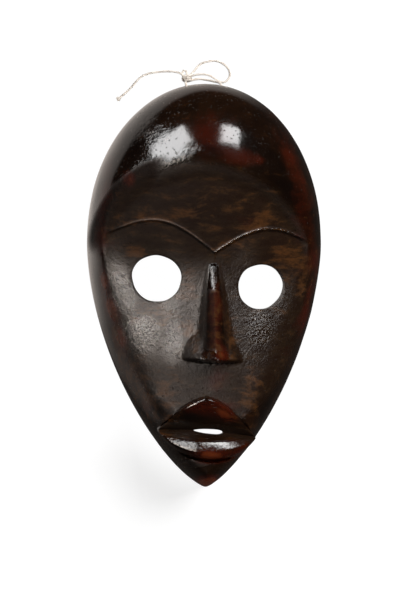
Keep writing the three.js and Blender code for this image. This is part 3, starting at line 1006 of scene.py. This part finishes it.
def eye_cutter(eye, material, seed):
    """An eye's opening, cut by hand: round, with slight flats, and square to the face there."""
    t = np.linspace(0, math.tau, 96, endpoint=False)
    uneven = 1 + 0.012 * np.sin(3 * t + seed) + 0.008 * np.sin(5 * t + 2 * seed) + 0.004 * np.sin(9 * t)
    outline = np.stack([
        eye["x"] + eye["across"] / 2 * uneven * np.cos(t),
        eye["y"] + eye["along"] / 2 * uneven * np.sin(t),
    ], axis=1)
    middle = out(0.86)
    lean = (-eye["lean"][0] * EYE_REACH / WALL, -eye["lean"][1] * EYE_REACH / WALL)
    return prism("eye_cutter", outline, middle - EYE_REACH, middle + EYE_REACH, lean, material)


def slot_cutter(material):
    """The slit between the lips: pointed on the left, fuller and blunt on the right."""
    t = np.linspace(0, math.tau, 64, endpoint=False)
    fuller = 0.72 + 0.28 * np.cos(t)
    x = SLOT["x"] + SLOT["across"] / 2 * np.sign(np.cos(t)) * np.abs(np.cos(t)) ** 0.8
    y = SLOT["y"] + SLOT["along"] / 2 * fuller * np.sin(t) - FACE_SKEW * (x - SLOT["x"])
    return prism("slot_cutter", np.stack([x, y], axis=1), 0.0, 2 * DEPTH, (0, 0), material)


def twine_hole_cutter(side, material):
    """A drilled hole through the upper rim, along y."""
    t = np.linspace(0, math.tau, 24, endpoint=False)
    outline = TWINE_HOLE / 2 * np.stack([np.cos(t), np.sin(t)], axis=1)
    cutter = prism("hole_cutter", outline, -HOLE_REACH, HOLE_REACH, (0, 0), material)
    middle = (side * HOLE_X * MM, (LENGTH / 2 - RIM_TOP / 2) * MM, TWINE_HOLE_HEIGHT * MM)
    cutter.data.transform(Matrix.Translation(middle) @ Matrix.Rotation(math.pi / 2, 4, "X"))
    return cutter


def cut(solid, cutters):
    """Subtract the cutters from a solid, and keep which faces each of them left."""
    for cutter in cutters:
        modifier = solid.modifiers.new("cut", "BOOLEAN")
        modifier.object = cutter
        modifier.operation = "DIFFERENCE"
        modifier.solver = "MANIFOLD"
        modifier.material_mode = "TRANSFER"
    evaluated = solid.evaluated_get(bpy.context.evaluated_depsgraph_get())
    mesh = bpy.data.meshes.new_from_object(evaluated)
    solid.modifiers.clear()
    for cutter in cutters:
        bpy.data.objects.remove(cutter)
    solid.data = mesh
    return solid


# Spots of the patina and of painted shade and light, each as x, y, two half sizes, turn in degrees and
# strength, on the mask seen from the front. In the first, handling has rubbed it off down to the red
# ground.
RUBBED_RED = [
    (4, 86, 14, 8, 10, 0.8),
    (17, 77, 16, 7, -25, 0.7),
    (30, 73, 4, 2.5, 0, 0.9),
    (-46, 63, 3, 4, 20, 0.9),
    (52, 55, 9, 40, 12, 0.55),
    (-62, 45, 4, 30, -6, 0.6),
    (-60.5, 3, 2.5, 6, 10, 1.6),
    (-56, -14, 3, 7, 18, 1.6),
    (-51.5, -30, 3, 7, 18, 1.6),
    (-35, -70, 3, 5, 20, 0.7),
    (4, -20, 5, 24, 0, 0.6),
    (8, -40, 4, 5, 0, 0.8),
    (8, -75, 7, 2.5, -28, 1.1),
    (-1, -72, 13, 4, 0, 0.9),
    (2, -101, 8, 4, 0, 1.2),
    (20, -98, 8, 3, 25, 0.6),
    (1, -116, 8, 4.5, 0, 1.5),
    (60, -12, 3, 14, -12, 0.6),
]

# Where it is worn thin over the pale wood. The spots at (-11, -25), (-10, 0) and (-38, -20) on the
# left cheek are in part a painted tint of the cheek's sheen
GOLD_WEAR_AND_SHEEN_TINT = [
    (-37, 38, 17, 4, 8, 0.8),
    (-43, 18, 5, 4, 0, 0.9),
    (32, 38, 12, 5, -5, 0.7),
    (48, 14, 9, 14, 30, 0.8),
    (56, 1, 4, 8, 0, 0.8),
    (16, 26, 14, 5, 25, 0.6),
    (-5, 45, 40, 14, 0, 0.4),
    (27, -55, 5, 9, 10, 0.8),
    (24, -70, 6, 10, 10, 0.7),
    (-24, -65, 8, 12, 20, 0.7),
    (14, -28, 4, 12, 0, 0.8),
    (4, -22, 4, 18, 0, 0.6),
    (-11, -25, 6, 10, 0, 0.9),
    (-27, -20, 8, 6, 0, 0.7),
    (-10, 0, 7, 12, 0, 0.7),
    (-38, -20, 12, 8, -30, 0.5),
    (-8, -37, 3, 3, 0, 0.9),
    (38, -10, 8, 10, 0, 0.45),
    (-38, -62, 7, 22, 25, 0.7),
    (-52, -35, 5, 22, 12, 0.6),
]

# Where the plane of the face has a shine
POLISHED = [
    (-50, -3, 7, 14, 20, 1.0),
    (-38, -27, 11, 10, 0, 1.0),
    (-20, -31, 7, 12, 0, 0.9),
    (31, -24, 10, 14, 0, 0.8),
    (26, -48, 8, 12, 0, 0.3),
    (0, -61, 9, 5, 0, 0.2),
    (-22, -8, 8, 14, 0, 0.7),
    (22, 0, 6, 14, 0, 0.5),
]

# Where the gloss is gone
DRY = [
    (-6, -104, 9, 2.5, 8, 1.0),
    (-17, -41, 5, 5, 0, 0.9),
    (20, -41, 5, 5, 0, 0.6),
    (-25, -72, 10, 6, -50, 1.2),
]

# Painted shade: where it is kept black, under the forehead's bulge, beside the foot of the nose
# and under the lower lip
PAINTED_SHADE_SPOTS = [
    (0, -108, 14, 4, 0, 0.6),
    (22, -38, 8, 6, 0, 0.5),
    (-12, -38, 8, 5, 0, 0.5),
    (12, 62, 30, 7, 0, 0.5),
]

# Where it has cracked into small flakes
CRACKLED = [
    (-34, 91, 8, 5, 45, 1.0),
    (-20, 72.5, 13, 1.6, 25, 0.8),
    (-50, 58, 3, 12, -35, 0.8),
    (10, 8, 6, 8, 0, 1.0),
    (10, -42, 10, 2.5, 0, 0.8),
    (-14, -93, 9, 4, -20, 0.4),
]


def rubbed_share(x, y, spots):
    """How far a place lies inside the rubbed spots, from 0 to 1."""
    share = np.zeros(np.shape(x))
    for spot_x, spot_y, half_x, half_y, degrees, strength in spots:
        c, s = math.cos(math.radians(degrees)), math.sin(math.radians(degrees))
        u = ((x - spot_x) * c + (y - spot_y) * s) / half_x
        v = ((y - spot_y) * c - (x - spot_x) * s) / half_y
        share = np.maximum(share, strength * np.exp(-0.7 * (u * u + v * v)))
    return share


def standing_out(places, reach):
    """How far each place of a grid stands out from the average of those round it, in millimetres."""
    smooth = places.copy()
    for _ in range(reach):
        padded = np.pad(smooth, ((1, 1), (1, 1), (0, 0)), mode="edge")
        smooth = (padded[:-2, 1:-1] + padded[2:, 1:-1] + padded[1:-1, :-2] + padded[1:-1, 2:]) / 4
    return np.sum((places - smooth) * normals_of(places), axis=-1)


def nose_share(x, level):
    """How far a place is on the bar of the nose, from 0 to 1."""
    ridge = nose_height(NOSE["x"] + across(0.0035), level)
    return ramp(0.35, 0.75, nose_height(x, level) / np.maximum(ridge, 1.5))


def dry_share(x, y, level, on_nose, on_lips):
    """Where the gloss is dulled: along the plane's upper left edge, in spots, and down the nose."""
    edge = ramp(-0.17, -0.09, plane_inward(x, level)) * ramp(across(-0.13), across(-0.25), x)
    edge = edge * ramp(along(0.03), along(0.1), level)
    below_bridge = ramp(along(-0.005), along(-0.02), level) * ramp(along(-0.165), along(-0.15), level)
    dry = np.maximum(edge, rubbed_share(x, y, DRY) * (1 - on_lips))
    return np.maximum(on_nose * below_bridge, dry)


def polish(x, y, level, crest):
    """How much handling has polished a place: the cheeks, the crests of the brows, and spots."""
    handled = 0.4 * ramp(along(0.09), along(-0.03), level) * ramp(across(0.5), across(0.3), np.abs(x))
    handled = handled * (1 - 0.65 * ramp(along(-0.15), along(-0.22), level))
    crests = np.where(x < BROW["x"], 0.3, 1.2) * crest
    return np.maximum(np.maximum(handled, crests), rubbed_share(x, y, POLISHED))


def face_marks(places):
    """What the patina does at each place of the front's grid, and where shade and light are painted into
    its colours.
    """
    x, y, _ = np.moveaxis(places, -1, 0)
    level = y + FACE_SKEW * x
    _, top, line, bottom = mouth_lines(x)
    within = np.abs(x - MOUTH["x"]) < MOUTH["half"]
    on_lips = ramp(-1, 1, np.minimum(top - level, level - bottom)) * within
    parted = bell(level - line - 1, along(0.017))
    on_nose = nose_share(x, level)
    matt = np.sqrt(plane_share(x, level)) * ramp(along(-0.43), along(-0.36), level) * (1 - on_nose)
    satin = 0.3 * ramp(along(-0.37), along(-0.42), level)
    matt = np.maximum(matt, satin) * (1 - on_lips) + 0.8 * parted * on_lips
    lip_sheen = 0.08 * on_lips * (1 - parted) * (level < line)
    crest = brow_crest(x, level) * ramp(across(0.42), across(0.3), np.abs(x))
    return {
        "matt": matt,
        "sheen": matt * polish(x, y, level, crest) * (1 - on_lips) * (1 - on_nose) + lip_sheen,
        "dry": dry_share(x, y, level, on_nose, on_lips),
        # The red wear, less the painted shade spots, which stay dark
        "red_wear_less_painted_shade": rubbed_share(x, y, RUBBED_RED) - rubbed_share(x, y, PAINTED_SHADE_SPOTS),
        # Gold wear, with a painted highlight along the brow crests
        "gold_wear_and_painted_light": np.maximum(rubbed_share(x, y, GOLD_WEAR_AND_SHEEN_TINT), 0.7 * crest),
        "crackled": rubbed_share(x, y, CRACKLED),
        "proud": np.clip(standing_out(places, 24) / 0.3, -1, 1),
    }


# What the mesh of the carving carries for its material
def store(mesh, name, values):
    attribute = mesh.attributes.new(name, "FLOAT", "POINT")
    attribute.data.foreach_set("value", values.astype(np.float32))


def gathered(items, name, size=1, kind=np.int32):
    """One property of every item of a mesh, as a flat array."""
    values = np.zeros(size * len(items), kind)
    items.foreach_get(name, values)
    return values


def stored(mesh, name):
    return gathered(mesh.attributes[name].data, "value", kind=np.float32)


def spread_marks(mesh, names, cut_with):
    """Fill in what new corners lack from their neighbours, and mark the faces that cutters left."""
    count = len(mesh.vertices)
    one, other = gathered(mesh.edges, "vertices", 2).reshape(-1, 2).T
    known = stored(mesh, "known")
    weight = np.bincount(one, known[other], count) + np.bincount(other, known[one], count)
    for name in names:
        values = stored(mesh, name)
        near = np.bincount(one, (values * known)[other], count)
        near += np.bincount(other, (values * known)[one], count)
        filled = np.where(known > 0.5, values, near / np.maximum(weight, 1e-6))
        mesh.attributes[name].data.foreach_set("value", filled.astype(np.float32))
    loop_vertex = gathered(mesh.loops, "vertex_index")
    slots = gathered(mesh.polygons, "material_index")
    totals = gathered(mesh.polygons, "loop_total")
    around = np.maximum(np.bincount(loop_vertex, minlength=count), 1)
    for name, material in cut_with.items():
        index = list(mesh.materials).index(material)
        from_cutter = np.repeat((slots == index).astype(float), totals)
        store(mesh, name, np.bincount(loop_vertex, from_cutter, count) / around)
    mesh.attributes.remove(mesh.attributes["known"])


# How finely the front and the hollow are divided: cells across, how far a triangle may stray, the
# coarsest triangle in cells, and how evenly the cells lie
FACE_MESH = {"cells": 512, "stray": 0.03, "coarsest": 4, "warp": 0.97}
HOLLOW_MESH = {"cells": 256, "stray": 0.09, "coarsest": 8, "warp": 0.9}
RIM_RINGS = [(0, 0.7 * RIM_SOFT), (-0.3 * RIM_SOFT, 0.3 * RIM_SOFT), (-0.8 * RIM_SOFT, 0)]
HOLLOW_RINGS = [(0.2, 0.3), (0.6, 0), (0.9, -0.5), (1.0, -WALL)]
SHARP_ANGLE = math.radians(58)


def carved_front(wood):
    """The front and its walls, filled behind, with the marks of the patina and of painted shade and
    light, and the marks' names.
    """
    grid = domed_grid(FACE_MESH["cells"], np.zeros_like, front_height, FACE_MESH["warp"])
    face = worked_face(grid)
    triangles = divided(face, FACE_MESH["stray"], FACE_MESH["coarsest"])
    vertices, faces = closed_dome(face, triangles, RIM_RINGS)
    solid = solid_object("mask_carving", vertices, faces, wood)
    used = np.unique(triangles)
    marks = face_marks(face)
    for name, values in marks.items():
        whole = np.zeros(len(vertices))
        whole[:len(used)] = values.ravel()[used]
        store(solid.data, name, whole)
    store(solid.data, "known", np.ones(len(vertices)))
    return solid, list(marks)


def hollow_cutter(bare):
    """The hollow behind the face, with a flare where it leaves the rim."""
    grid = domed_grid(HOLLOW_MESH["cells"], rim_width, hollow_height, HOLLOW_MESH["warp"])
    hollow = adzed_hollow(grid)
    triangles = divided(hollow, HOLLOW_MESH["stray"], HOLLOW_MESH["coarsest"])
    return solid_object("hollow_cutter", *closed_dome(hollow, triangles, HOLLOW_RINGS), bare)


def make_mask(wood, bare, shade):
    """The carving with its hollow, eyes, mouth slot and holes. Bare and shade mark the cut faces."""
    solid, marks = carved_front(wood)
    cutters = [hollow_cutter(bare)]
    cutters += [eye_cutter(eye, shade, seed) for seed, eye in enumerate(EYES)]
    cutters += [slot_cutter(shade)]
    cutters += [twine_hole_cutter(side, bare) for side in (-1, 1)]
    mask = cut(solid, cutters)
    spread_marks(mask.data, marks, {"hollow": bare, "opened": shade})
    mesh = mask.data
    mesh.polygons.foreach_set("material_index", np.zeros(len(mesh.polygons), np.int32))
    mesh.materials.clear()
    mesh.materials.append(wood)
    mesh.shade_smooth()
    mesh.set_sharp_from_angle(angle=SHARP_ANGLE)
    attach(mask, "root")
    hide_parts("mask")


def mark(tree, name):
    return add(tree, "ShaderNodeAttribute", out_socket=2, attribute_name=name)


# The colours of the wood, from the smoked patina down to the bare wood of the hollow
NEAR_BLACK = (0.0035, 0.0014, 0.0007, 1)
DARK_BROWN = (0.012, 0.0046, 0.0018, 1)
OLIVE_BROWN = (0.019, 0.0095, 0.0038, 1)
DEEP_RED = (0.036, 0.0045, 0.0012, 1)
RUST_RED = (0.13, 0.024, 0.006, 1)
GOLD_BROWN = (0.062, 0.023, 0.006, 1)
BARE_BROWN = (0.075, 0.034, 0.014, 1)
BARE_DARK = (0.028, 0.012, 0.006, 1)

# The marks that the carving carries, the size of the lacquer's flakes, and the depth of the relief
MARKS = ("matt", "sheen", "dry", "red_wear_less_painted_shade", "gold_wear_and_painted_light", "crackled", "proud", "hollow", "opened")
FLAKE = 1.9
RELIEF = 0.5


def wood_colour(tree, where, moved, marks, specks):
    """Smoky brown and black, worn to red and gold, and bare wood in the hollow. The red is held back in
    painted shade spots, and the gold carries painted light on the brow crests and the left cheek.
    """
    clouds = noise(tree, moved, 30, detail=5)
    streaks = noise(tree, moved, 4.5, detail=5, rough=0.65, stretch=(3.2, 1, 1))
    dark = blended(tree, between(tree, clouds, 0.35, 0.65), NEAR_BLACK, DARK_BROWN)
    plane = blended(tree, between(tree, streaks, 0.36, 0.68), DARK_BROWN, OLIVE_BROWN)
    colour = blended(tree, marks["matt"], dark, plane)

    cloudy = plus(tree, times(tree, specks, 0.15), times(tree, clouds, 0.85))
    cloudy = times(tree, minus(tree, cloudy, 0.5), 2.2)
    # Painted shade: the red is held back in the painted shade spots, so they stay dark
    red = plus(tree, marks["red_wear_less_painted_shade"], times(tree, marks["proud"], 0.12))
    red = plus(tree, red, cloudy)
    colour = blended(tree, between(tree, red, 0.15, 0.75), colour, DEEP_RED)
    colour = blended(tree, between(tree, red, 0.75, 1.35), colour, RUST_RED)

    broken = plus(tree, times(tree, specks, 0.5), times(tree, clouds, 0.5))
    broken = minus(tree, broken, 0.5)
    # The gold is wear, and in part painted light: a highlight along the brow crests and the sheen's tint
    # on the left cheek
    gold = plus(tree, marks["gold_wear_and_painted_light"], times(tree, marks["proud"], 0.15))
    gold = plus(tree, gold, times(tree, minus(tree, streaks, 0.5), 3.0))
    gold = plus(tree, gold, broken)
    colour = blended(tree, between(tree, gold, 0.25, 1.1), colour, GOLD_BROWN)

    grain = noise(tree, where, 3.0, detail=4, stretch=(1, 9, 1))
    raw = blended(tree, between(tree, grain, 0.35, 0.7), BARE_DARK, BARE_BROWN)
    raw = blended(tree, between(tree, clouds, 0.45, 0.7), raw, DARK_BROWN)
    colour = blended(tree, marks["hollow"], colour, raw)
    return blended(tree, marks["opened"], colour, DARK_BROWN)


def wood_roughness(tree, marks, rough, specks):
    """Glossy lacquer at the least, matt where it is dry, and dull in the hollow and the cuts."""
    spread = between(tree, rough, 0.0, 1.0, 0.1, 0.3)
    uneven = times(tree, minus(tree, specks, 0.5), spread)
    roughness = between(tree, rough, 0.0, 1.0, 0.1, 0.62)
    roughness = minus(tree, roughness, times(tree, marks["sheen"], 0.62))
    roughness = greater(tree, plus(tree, roughness, uneven), 0.1)
    for name in ("hollow", "opened"):
        roughness = plus(tree, roughness, times(tree, marks[name], 0.4))
    return roughness


def wood_shine(tree, marks, rough):
    """The specular level: low on dry wood and in the cuts, full where it is polished."""
    dull = greater(tree, minus(tree, rough, marks["sheen"]), marks["opened"])
    return plus(tree, between(tree, dull, 0.0, 1.0, 0.5, 0.05), times(tree, marks["sheen"], 0.7))


def wood_relief(tree, where, moved, marks, rough):
    """Fine wear and grain where the wood is matt, a crackled lacquer on it, and small pits."""
    fine = noise(tree, where, 1.1, detail=3, rough=0.6)
    coarse = noise(tree, moved, 2.6, detail=4, rough=0.65)
    worn = plus(tree, between(tree, rough, 0.0, 1.0, 0.05, 1.0), times(tree, marks["sheen"], 1.3))
    worn = plus(tree, worn, times(tree, marks["crackled"], 1.6))
    height = times(tree, plus(tree, times(tree, fine, 0.45), coarse), worn)
    flakes = {"Vector": moved, "Scale": 1 / (FLAKE * MM)}
    cell = add(tree, "ShaderNodeTexVoronoi", flakes, feature="SMOOTH_F1")
    lacquer = times(tree, greater(tree, marks["sheen"], marks["crackled"]), -0.9)
    height = plus(tree, height, times(tree, cell, lacquer))
    pits = between(tree, noise(tree, where, 1.5, detail=1), 0.68, 0.76, 0.0, -0.8)
    bump = {"Strength": 0.9, "Distance": RELIEF * MM, "Height": plus(tree, height, pits)}
    return add(tree, "ShaderNodeBump", bump)


def wood_material():
    """Dark wood under a patina of oil and smoke: glossy where it was rubbed, matt on the plane."""
    material, tree, shader = new_material("patinated_wood")
    where = add(tree, "ShaderNodeTexCoord", out_socket=3)
    drift = noise(tree, where, 22, detail=2, out_socket=1)
    drift = scaled(tree, vectors(tree, "SUBTRACT", drift, (0.5, 0.5, 0.5)), 9 * MM)
    moved = vectors(tree, "ADD", where, drift)
    marks = {name: mark(tree, name) for name in MARKS}
    specks = noise(tree, moved, 1.8, detail=3, rough=0.7)
    rough = greater(tree, marks["matt"], marks["dry"])
    finish = {
        "Base Color": wood_colour(tree, where, moved, marks, specks),
        "Roughness": wood_roughness(tree, marks, rough, specks),
        "Specular IOR Level": wood_shine(tree, marks, rough),
        "Normal": wood_relief(tree, where, moved, marks, rough),
    }
    for name, value in finish.items():
        tree.links.new(value, shader.inputs[name])
    return material


make_mask(wood_material(), bpy.data.materials.new("hollowed"), bpy.data.materials.new("opened"))


# The floor and the soft lights round it, in metres
FLOOR_HALF = 3.0
# Painted light: within this reach of the mask the floor glows at full strength and fills the mask's shade
GLOW_REACH = (0.07, 0.125)
SHADOW_FROM, SHADOW_TO = -0.06, -0.13
GREY_NEAR = (0.04, 0.04, 0.04, 1)
GREY_LOWER = (0.45, 0.45, 0.45, 1)
GLOW_LOWER = 0.78
WORLD_LEAST = 0.03
LIGHT_TARGET = Vector((0, 0.03, 0.05))
WHITE = (1, 1, 1)
WARM = (1, 0.88, 0.78)
HORIZON = (1, 0.9, 0.83, 1)


def floor_material():
    """Pale paper that glows by itself, and takes a soft shadow only under the chin. The glow is painted
    light: full under and round the mask, where it fills the mask's shade, and weaker below the chin,
    where the paper is paler.
    """
    material, tree, shader = new_material("pale_floor")
    shader.inputs["Roughness"].default_value = 0.9
    shader.inputs["Specular IOR Level"].default_value = 0.1
    shader.inputs["Emission Color"].default_value = (1, 1, 1, 1)
    where = add(tree, "ShaderNodeTexCoord", out_socket=3)
    shares = vectors(tree, "MULTIPLY", where, (1 / GLOW_REACH[0], 1 / GLOW_REACH[1], 0))
    away = vectors(tree, "LENGTH", shares, out_socket=1)
    lower = between(tree, add(tree, "ShaderNodeSeparateXYZ", {0: where}, 1), SHADOW_FROM, SHADOW_TO)
    grey = blended(tree, lower, GREY_NEAR, GREY_LOWER)
    tree.links.new(grey, shader.inputs["Base Color"])
    dim = between(tree, lower, 0, 1, 1.0, GLOW_LOWER)
    glow = between(tree, away, 0.75, 1.1, 1.0, dim)
    tree.links.new(glow, shader.inputs["Emission Strength"])
    return material


def make_floor():
    mesh = bpy.data.meshes.new("floor")
    corners = [(x * FLOOR_HALF, y * FLOOR_HALF, 0) for x, y in ((-1, -1), (1, -1), (1, 1), (-1, 1))]
    mesh.from_pydata(corners, [], [(0, 1, 2, 3)])
    mesh.materials.append(floor_material())
    floor = in_scene("floor", mesh)
    floor.visible_glossy = False


def make_world():
    """A dark studio with a pale horizon. What lies below shows only in the mask's reflections."""
    world = bpy.data.worlds.new("studio")
    bpy.context.scene.world = world
    world.use_nodes = True
    tree = world.node_tree
    direction = add(tree, "ShaderNodeTexCoord", out_socket=0)
    height = add(tree, "ShaderNodeSeparateXYZ", {0: direction}, 2)
    level = vectors(tree, "NORMALIZE", vectors(tree, "MULTIPLY", direction, (1, 1, 0)))
    leftward = vectors(tree, "DOT_PRODUCT", level, (-1, 0, 0), out_socket=1)
    toward = vectors(tree, "DOT_PRODUCT", level, (-0.6, 0.8, 0), out_socket=1)
    limit = between(tree, leftward, -0.3, 0.8, -0.5, -0.12)
    below = between(tree, minus(tree, height, limit), -0.25, 0.0, 1.0, 0.0)
    rising = between(tree, leftward, -1.0, 0.4, 0.17, 0.65)
    bright = times(tree, between(tree, toward, 0.1, 0.55), rising)
    background = tree.nodes["Background"]
    tree.links.new(plus(tree, times(tree, below, bright), WORLD_LEAST), background.inputs["Strength"])
    background.inputs["Color"].default_value = HORIZON


def softbox(name, direction, distance, size, radiance, top=(0, 1, 0), colour=WHITE, in_gloss=True):
    """A rectangular soft light that looks at the mask, either a reflection or a soft fill."""
    light = bpy.data.lights.new(name, "AREA")
    light.shape = "RECTANGLE"
    light.size, light.size_y = size
    light.energy = radiance * math.pi * size[0] * size[1]
    light.color = colour
    thing = in_scene(name, light)
    thing.visible_glossy = in_gloss
    thing.visible_diffuse = not in_gloss
    place = LIGHT_TARGET + Vector(direction).normalized() * distance
    aimed(thing, place, LIGHT_TARGET, Vector(top))


make_floor()
make_world()
softbox("left_light", (-0.43, 0.39, 0.82), 1.1, (0.31, 0.5), 15.5, top=(0.56, 0.38, 0.05))
softbox("right_light", (0.35, 0.49, 0.8), 1.1, (0.29, 0.29), 17, top=(0.2, 1, 0))
softbox("cheek_light", (-0.56, -0.08, 0.82), 1.1, (0.34, 0.42), 30, colour=WARM)
softbox("near_light", (-0.3, 0.06, 0.95), 1.1, (0.13, 0.25), 9, colour=WARM)
softbox("fill_light", (0.5, 0.45, 0.74), 1.5, (1.1, 1.1), 8, in_gloss=False)
